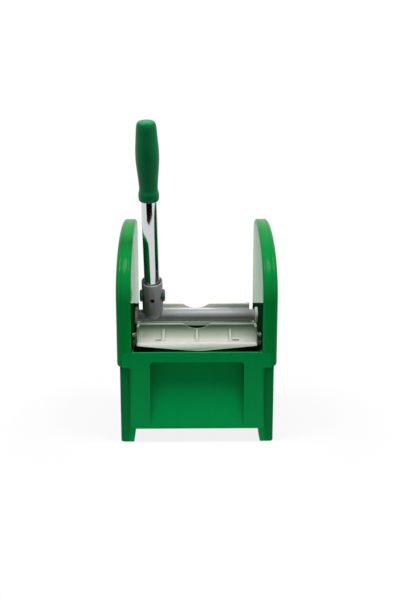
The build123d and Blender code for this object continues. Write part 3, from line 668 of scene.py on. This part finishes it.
def worked_metal(
    name, colour, stain, gloss, stretch, grain_depth, metallic=1.0, turn=(0, 0, 0), painted_bands=()
):
    """Metal with a grain: lines drawn out along the directions with a small stretch value."""
    material = bpy.data.materials.new(name)
    material.use_nodes = True
    tree = material.node_tree
    shader = tree.nodes["Principled BSDF"]
    shader.inputs["Metallic"].default_value = metallic
    coordinates = place(tree, "ShaderNodeTexCoord")
    turned = place(
        tree,
        "ShaderNodeMapping",
        {"Vector": coordinates.outputs["Object"], "Rotation": turn},
    )
    grain = place(tree, "ShaderNodeGroup", node_tree=steel_grain)
    tree.links.new(turned.outputs[0], grain.inputs["Vector"])
    grain.inputs["Stretch"].default_value = stretch
    grain.inputs["Colour"].default_value = (*colour, 1)
    grain.inputs["Stain"].default_value = stain
    grain.inputs["Gloss Low"].default_value, grain.inputs["Gloss High"].default_value = gloss
    bump = place(
        tree,
        "ShaderNodeBump",
        {"Strength": 0.4, "Distance": grain_depth, "Height": grain.outputs["Height"]},
    )
    # Bands of painted shade laid over the colour.
    metal_colour = painted_over(tree, coordinates.outputs["Object"], grain.outputs["Colour"], painted_bands)
    tree.links.new(metal_colour, shader.inputs["Base Color"])
    tree.links.new(grain.outputs["Roughness"], shader.inputs["Roughness"])
    tree.links.new(bump.outputs[0], shader.inputs["Normal"])
    return material


fastener_steel = worked_metal(
    "fastener_steel", (0.52, 0.53, 0.55), 0.3, (0.22, 0.4), (500, 500, 500), 0.00002
)

socket_screws = bpy.data.node_groups.new("socket_screws", "GeometryNodeTree")
for socket_name, socket_type in (
    ("Places", "NodeSocketGeometry"),
    ("Turn", "NodeSocketRotation"),
    ("Shank Radius", "NodeSocketFloat"),
    ("Shank Length", "NodeSocketFloat"),
    ("Head Radius", "NodeSocketFloat"),
    ("Head Height", "NodeSocketFloat"),
    ("Key Radius", "NodeSocketFloat"),
    ("Steel", "NodeSocketMaterial"),
):
    socket_screws.interface.new_socket(socket_name, in_out="INPUT", socket_type=socket_type)
socket_screws.interface.new_socket("Screws", in_out="OUTPUT", socket_type="NodeSocketGeometry")
screw_in = socket_screws.nodes.new("NodeGroupInput")
screw_out = socket_screws.nodes.new("NodeGroupOutput")


def screw_sum(first, second, operation):
    """One sum inside the screw tree."""
    return place(
        socket_screws, "ShaderNodeMath", {0: first, 1: second}, operation=operation
    ).outputs[0]


def screw_lift(geometry, height):
    """Move a part of the screw along its own axis."""
    offset = place(socket_screws, "ShaderNodeCombineXYZ", {"Z": height})
    return place(
        socket_screws,
        "GeometryNodeTransform",
        {"Geometry": geometry, "Translation": offset.outputs[0]},
    ).outputs[0]


shank_length = screw_in.outputs["Shank Length"]
head_radius = screw_in.outputs["Head Radius"]
head_height = screw_in.outputs["Head Height"]
crown_height = screw_sum(head_height, 0.22, "MULTIPLY")
skirt_height = screw_sum(head_height, crown_height, "SUBTRACT")
shank = place(
    socket_screws,
    "GeometryNodeMeshCylinder",
    {"Vertices": 24, "Radius": screw_in.outputs["Shank Radius"], "Depth": shank_length},
)
shank_set = screw_lift(shank.outputs["Mesh"], screw_sum(shank_length, -0.5, "MULTIPLY"))
head_skirt = place(
    socket_screws,
    "GeometryNodeMeshCylinder",
    {"Vertices": 40, "Radius": head_radius, "Depth": skirt_height},
)
skirt_set = screw_lift(head_skirt.outputs["Mesh"], screw_sum(skirt_height, 0.5, "MULTIPLY"))
head_crown = place(
    socket_screws,
    "GeometryNodeMeshCone",
    {
        "Vertices": 40,
        "Radius Top": screw_sum(head_radius, 0.86, "MULTIPLY"),
        "Radius Bottom": head_radius,
        "Depth": crown_height,
    },
)
crown_set = screw_lift(head_crown.outputs["Mesh"], skirt_height)
whole_head = place(socket_screws, "GeometryNodeMeshBoolean", operation="UNION")
socket_screws.links.new(skirt_set, whole_head.inputs["Mesh 2"])
socket_screws.links.new(crown_set, whole_head.inputs["Mesh 2"])
key_bore = place(
    socket_screws,
    "GeometryNodeMeshCylinder",
    {"Vertices": 6, "Radius": screw_in.outputs["Key Radius"], "Depth": head_height},
)
key_set = screw_lift(key_bore.outputs["Mesh"], head_height)
keyed_head = place(
    socket_screws,
    "GeometryNodeMeshBoolean",
    {"Mesh 1": whole_head.outputs["Mesh"], "Mesh 2": key_set},
    operation="DIFFERENCE",
)
one_screw = place(socket_screws, "GeometryNodeJoinGeometry")
socket_screws.links.new(keyed_head.outputs["Mesh"], one_screw.inputs[0])
socket_screws.links.new(shank_set, one_screw.inputs[0])
screw_set = place(
    socket_screws,
    "GeometryNodeInstanceOnPoints",
    {
        "Points": screw_in.outputs["Places"],
        "Instance": one_screw.outputs[0],
        "Rotation": screw_in.outputs["Turn"],
    },
)
real_screws = place(
    socket_screws, "GeometryNodeRealizeInstances", {"Geometry": screw_set.outputs[0]}
)
plated_screws = place(
    socket_screws,
    "GeometryNodeSetMaterial",
    {"Geometry": real_screws.outputs[0], "Material": screw_in.outputs["Steel"]},
)
socket_screws.links.new(plated_screws.outputs[0], screw_out.inputs[0])


same_screw = 0.0095


def screw_group(node, axis, seat, turn, sizes):
    """Screws of one CAD node: their middles are read from it, and their heads sit at a level."""
    across = [direction for direction in range(3) if direction != axis]
    clusters = []
    for vertex in nodes[node].data.vertices:
        spot = Vector([vertex.co[direction] for direction in across])
        for cluster in clusters:
            if (cluster[0] - spot).length < same_screw:
                cluster.append(spot)
                break
        else:
            clusters.append([spot])
    middles = []
    for cluster in clusters:
        middle = [0.0, 0.0, 0.0]
        middle[axis] = seat
        for index, direction in enumerate(across):
            values = [spot[index] for spot in cluster]
            middle[direction] = (min(values) + max(values)) / 2
        middles.append(middle)
    points = bpy.data.meshes.new(node + "_places")
    points.from_pydata(middles, [], [])
    holder = bpy.data.objects.new(node + "_holder", points)
    scene.collection.objects.link(holder)
    modifier = holder.modifiers.new("screws", "NODES")
    modifier.node_group = socket_screws
    for item in socket_screws.interface.items_tree:
        if item.in_out == "INPUT" and item.name in sizes:
            modifier[item.identifier] = sizes[item.name]
        elif item.in_out == "INPUT" and item.name == "Turn":
            modifier[item.identifier] = turn
        elif item.in_out == "INPUT" and item.name == "Steel":
            modifier[item.identifier] = fastener_steel
    evaluated = holder.evaluated_get(bpy.context.evaluated_depsgraph_get())
    mesh = bpy.data.meshes.new_from_object(evaluated)
    bpy.data.objects.remove(holder)
    mesh.name = node + "_set"
    for polygon in mesh.polygons:
        polygon.use_smooth = True
    mesh.set_sharp_from_angle(angle=math.radians(28))
    piece = bpy.data.objects.new(node + "_set", mesh)
    scene.collection.objects.link(piece)
    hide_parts(node)
    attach(piece, "frame")


cover_screw_sizes = {
    "Shank Radius": 0.002,
    "Shank Length": 0.0156,
    "Head Radius": 0.004,
    "Head Height": 0.0026,
    "Key Radius": 0.00173,
}
seat_screw_sizes = {
    "Shank Radius": 0.00175,
    "Shank Length": 0.0125,
    "Head Radius": 0.0034,
    "Head Height": 0.0024,
    "Key Radius": 0.00173,
}
cover_seat = 0.1396
band_seat = 0.1645
screw_group("cover_screws_left", 0, -cover_seat, (0, -math.pi / 2, 0), cover_screw_sizes)
screw_group("cover_screws_right", 0, cover_seat, (0, math.pi / 2, 0), cover_screw_sizes)
screw_group("seat_screws", 2, band_seat, (math.pi, 0, 0), seat_screw_sizes)


# Torque bar: a drawn steel tube with a dull zinc finish, its draw lines along its length.
# It turns in two flanged nylon bushes pressed into the housings.
downwards = (0.0, 0.0, -1.0)
grey_metal = worked_metal(
    "grey_metal",
    (0.36, 0.38, 0.385),
    0.18,
    (0.4, 0.52),
    (9, 900, 900),
    0.00003,
    metallic=0.2,
    # Painted shade: the underside of the bar is darkened to a dark grey-green.
    painted_bands=[painted_band((0.2, 0.25, 0.22), downwards, -0.2045, -0.1995)],
)
dress(grey_metal, "torque_bar")

white_plastic = moulded_plastic(
    "white_plastic", (0.82, 0.85, 0.80), 0.06, (0.28, 0.42), 0.00004
)
dress(white_plastic, "bar_bush_left", "bar_bush_right")


# Gearing inside the housings: cut steel pinions on the bar's ends and straight racks above
# and below them, left as machined under a film of grease.
gear_steel = worked_metal(
    "gear_steel", (0.30, 0.30, 0.31), 0.35, (0.2, 0.42), (60, 60, 800), 0.00003
)
dress(
    gear_steel,
    "pinion_left",
    "pinion_right",
    "front_rack_left",
    "front_rack_right",
    "rear_rack_left",
    "rear_rack_right",
)


# Lever: a grey die casting pinned on the bar holds a chromed steel tube, kept in by a set
# screw at the front and by two sprung lock buttons of dark green plastic at its sides.
def eased_copy(node, width, body, material, lean=None):
    """A welded copy of a CAD node with its sharp edges rounded off, which stands for it.

    Below its level and beyond its distance from the middle, lean draws the shape outwards. What
    hangs below the foot of a flange it also brings out flush with that flange, and draws up to a
    share of its depth, so that it clears what it slides over.
    """
    shape = bmesh.new()
    shape.from_mesh(nodes[node].data)
    bmesh.ops.remove_doubles(shape, verts=shape.verts, dist=weld)
    if lean:
        foot = lean["foot"]
        for vertex in shape.verts:
            reach = abs(vertex.co.y)
            if vertex.co.z < lean["level"] and reach > lean["distance"]:
                leaning = (lean["level"] - vertex.co.z) * lean["slope"]
                if vertex.co.z < foot and reach < lean["distance"] + 2 * lean["setback"]:
                    leaning += lean["setback"]
                vertex.co.y += math.copysign(leaning, vertex.co.y)
                if vertex.co.z < foot:
                    vertex.co.z = foot - (foot - vertex.co.z) * lean["depth_share"]
        bmesh.ops.remove_doubles(shape, verts=shape.verts, dist=weld)
        bmesh.ops.dissolve_degenerate(shape, edges=shape.edges, dist=weld)
    bmesh.ops.dissolve_limit(
        shape, angle_limit=math.radians(0.2), verts=shape.verts, edges=shape.edges
    )
    mesh = bpy.data.meshes.new(node + "_eased")
    shape.to_mesh(mesh)
    shape.free()
    mesh.materials.append(material)
    piece = bpy.data.objects.new(node + "_eased", mesh)
    scene.collection.objects.link(piece)
    easing = piece.modifiers.new("easing", "BEVEL")
    easing.width = width
    easing.segments = 2
    easing.limit_method = "ANGLE"
    easing.angle_limit = math.radians(35)
    easing.use_clamp_overlap = True
    easing.harden_normals = True
    evaluated = piece.evaluated_get(bpy.context.evaluated_depsgraph_get())
    finished = bpy.data.meshes.new_from_object(evaluated)
    piece.modifiers.remove(easing)
    piece.data = finished
    for polygon in finished.polygons:
        polygon.use_smooth = True
    finished.set_sharp_from_angle(angle=math.radians(40))
    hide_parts(node)
    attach(piece, body)


socket_metal = worked_metal(
    "socket_metal", (0.46, 0.46, 0.46), 0.25, (0.42, 0.6), (520, 520, 520), 0.00012, metallic=0.2
)
socket_edge = 0.0009
eased_copy("lever_socket", socket_edge, "lever", socket_metal)

black_steel = worked_metal(
    "black_steel", (0.02, 0.022, 0.022), 0.3, (0.35, 0.5), (500, 500, 500), 0.00002
)
dress(black_steel, "socket_screw")

lever_foot = (-0.0824, 0.0, 0.210)
lever_lean = math.radians(15.0)
lever_splay = math.radians(-0.6)
chrome = worked_metal(
    "chrome",
    (0.63, 0.64, 0.65),
    0.03,
    (0.03, 0.075),
    (700, 700, 6),
    0.000002,
    turn=(-lever_lean, 0, 0),
)
dress(chrome, "lever_tube")

button_plastic = moulded_plastic(
    "button_plastic", (0.006, 0.105, 0.062), 0.1, (0.22, 0.34), 0.00004
)
dress(button_plastic, "lock_button_left", "lock_button_right")

# The spring between the buttons is cut in the middle into two halves, each filled at its cut, and
# both ride with the lever.
button_line = Vector((0.999945, -0.00271, 0.010115))
spring_low, spring_high = [Vector(corner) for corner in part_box("button_spring")]
spring_middle = (spring_low + spring_high) / 2
for side, outward in (("left", -button_line), ("right", button_line)):
    coil = bmesh.new()
    coil.from_mesh(nodes["button_spring"].data)
    bmesh.ops.remove_doubles(coil, verts=coil.verts, dist=weld)
    bmesh.ops.bisect_plane(
        coil,
        geom=coil.verts[:] + coil.edges[:] + coil.faces[:],
        plane_co=spring_middle,
        plane_no=outward,
        clear_inner=True,
    )
    cut_edges = [edge for edge in coil.edges if len(edge.link_faces) == 1]
    bmesh.ops.holes_fill(coil, edges=cut_edges)
    coil_mesh = bpy.data.meshes.new("spring_half_" + side)
    coil.to_mesh(coil_mesh)
    coil.free()
    for polygon in coil_mesh.polygons:
        polygon.use_smooth = True
    coil_mesh.set_sharp_from_angle(angle=math.radians(40))
    coil_mesh.materials.append(fastener_steel)
    half_spring = bpy.data.objects.new("spring_half_" + side, coil_mesh)
    scene.collection.objects.link(half_spring)
    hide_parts("button_spring")
    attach(half_spring, "lever")
    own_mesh(half_spring)


# Grip: a bellied handle of soft green PVC, dipped and moulded over the end of the tube, with
# a waist above its collar. Its profile is turned round the lever's leaning axis.
grip_plastic = moulded_plastic(
    "grip_plastic", (0.0, 0.20, 0.062), 0.12, (0.26, 0.38), 0.00008, specular=0.12
)
grip_profile = [
    (0.2318, 0.0147),
    (0.2314, 0.0158),
    (0.2326, 0.0174),
    (0.2362, 0.0184),
    (0.2415, 0.0186),
    (0.2462, 0.0182),
    (0.2500, 0.0172),
    (0.2540, 0.0167),
    (0.2600, 0.0169),
    (0.2725, 0.0179),
    (0.2885, 0.0194),
    (0.3020, 0.0205),
    (0.3140, 0.0209),
    (0.3260, 0.0206),
    (0.3400, 0.0196),
    (0.3530, 0.0186),
    (0.3620, 0.0179),
    (0.3682, 0.0169),
    (0.3722, 0.0149),
    (0.3738, 0.0122),
    (0.3742, 0.0080),
    (0.3743, 0.0),
]
grip_sides = 72
grip_steps = 5
grip_points = [Vector((radius, 0.0, along)) for along, radius in grip_profile]
grip_line = [grip_points[0]]
for index in range(len(grip_points) - 1):
    before, near = grip_points[max(index - 1, 0)], grip_points[index]
    far, after = grip_points[index + 1], grip_points[min(index + 2, len(grip_points) - 1)]
    span = (far - near).length
    near_pull = (far - before).normalized() * span / 3
    far_pull = (after - near).normalized() * span / 3
    if index == len(grip_points) - 2:
        far_pull = Vector((-span / 3, 0.0, 0.0))
    grip_line += interpolate_bezier(near, near + near_pull, far - far_pull, far, grip_steps)[1:]
grip_shape = bmesh.new()
grip_edges = []
grip_ring = [grip_shape.verts.new(point) for point in grip_line]
for near, far in zip(grip_ring, grip_ring[1:]):
    grip_edges.append(grip_shape.edges.new((near, far)))
bmesh.ops.spin(
    grip_shape,
    geom=grip_ring + grip_edges,
    axis=(0, 0, 1),
    cent=(0, 0, 0),
    steps=grip_sides,
    angle=math.tau,
)
bmesh.ops.remove_doubles(grip_shape, verts=grip_shape.verts, dist=0.00001)
rim_edges = [edge for edge in grip_shape.edges if len(edge.link_faces) == 1]
bmesh.ops.holes_fill(grip_shape, edges=rim_edges)
bmesh.ops.recalc_face_normals(grip_shape, faces=grip_shape.faces)
lever_axis = (
    Matrix.Translation(lever_foot)
    @ Matrix.Rotation(lever_lean, 4, "X")
    @ Matrix.Rotation(lever_splay, 4, "Y")
)
bmesh.ops.transform(grip_shape, matrix=lever_axis, verts=grip_shape.verts)
grip_mesh = bpy.data.meshes.new("moulded_grip")
grip_shape.to_mesh(grip_mesh)
grip_shape.free()
for polygon in grip_mesh.polygons:
    polygon.use_smooth = True
grip_mesh.set_sharp_from_angle(angle=math.radians(50))
grip_mesh.materials.append(grip_plastic)
moulded_grip = bpy.data.objects.new("moulded_grip", grip_mesh)
scene.collection.objects.link(moulded_grip)
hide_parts("grip")
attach(moulded_grip, "lever")


# Jaws: off-white polypropylene troughs, open to the outside, with a notch for the mop's neck,
# three ribs, a flange and a bellied skirt that leans outwards. Their moulded edges are slightly
# rounded, and bands of painted shade and painted green reflected light lie on them.
upwards = (0.0, 0.0, 1.0)
front_jaw_plastic = moulded_plastic(
    "front_jaw_plastic",
    (0.94, 0.96, 0.88),
    0.07,
    (0.25, 0.38),
    0.00006,
    specular=0.3,
    # Bands of painted shade: the jaw is darkened above its flange, more up the trough wall and most
    # just below the lip, where shade falls; painted green reflected light tints the upper wall and
    # the skirt.
    painted_bands=[
        painted_band((0.56, 0.57, 0.54), upwards, 0.1836, 0.1843),
        painted_band((0.86, 0.86, 0.84), upwards, 0.1850, 0.1940, ragged=0.001),
        painted_band((0.83, 0.98, 0.85), upwards, 0.1880, 0.2000, ragged=0.001),
        painted_band((0.19, 0.25, 0.19), upwards, 0.1950, 0.2115, top=0.2121, ragged=0.001),
        painted_band((0.82, 0.98, 0.86), downwards, -0.1800, -0.1760),
    ],
)
rear_jaw_plastic = moulded_plastic(
    "rear_jaw_plastic",
    (0.92, 0.94, 0.86),
    0.07,
    (0.25, 0.38),
    0.00006,
    specular=0.3,
    # Bands of painted shade: the jaw is darker below its top edge, and much darker and greener low
    # down under the bar.
    painted_bands=[
        painted_band((0.66, 0.66, 0.66), downwards, -0.2105, -0.2060, ragged=0.0005),
        painted_band((0.26, 0.33, 0.26), downwards, -0.1890, -0.1815, ragged=0.001),
    ],
)
jaw_edge = 0.0006
skirt_lean = {
    "level": 0.1841,
    "foot": 0.1782,
    "distance": 0.0985,
    "slope": 0.4,
    "setback": 0.003,
    "depth_share": 0.83,
}
eased_copy("front_jaw", jaw_edge, "front_jaw_slide", front_jaw_plastic, skirt_lean)
eased_copy("rear_jaw", jaw_edge, "rear_jaw_slide", rear_jaw_plastic, skirt_lean)


# Guides: steel pins pressed through the jaws' ends into the racks, with white sleeves that
# slide in the slots of the inner shells.
dress(fastener_steel, "front_jaw_pins", "rear_jaw_pins")
dress(white_plastic, "front_guide_sleeves", "rear_guide_sleeves")
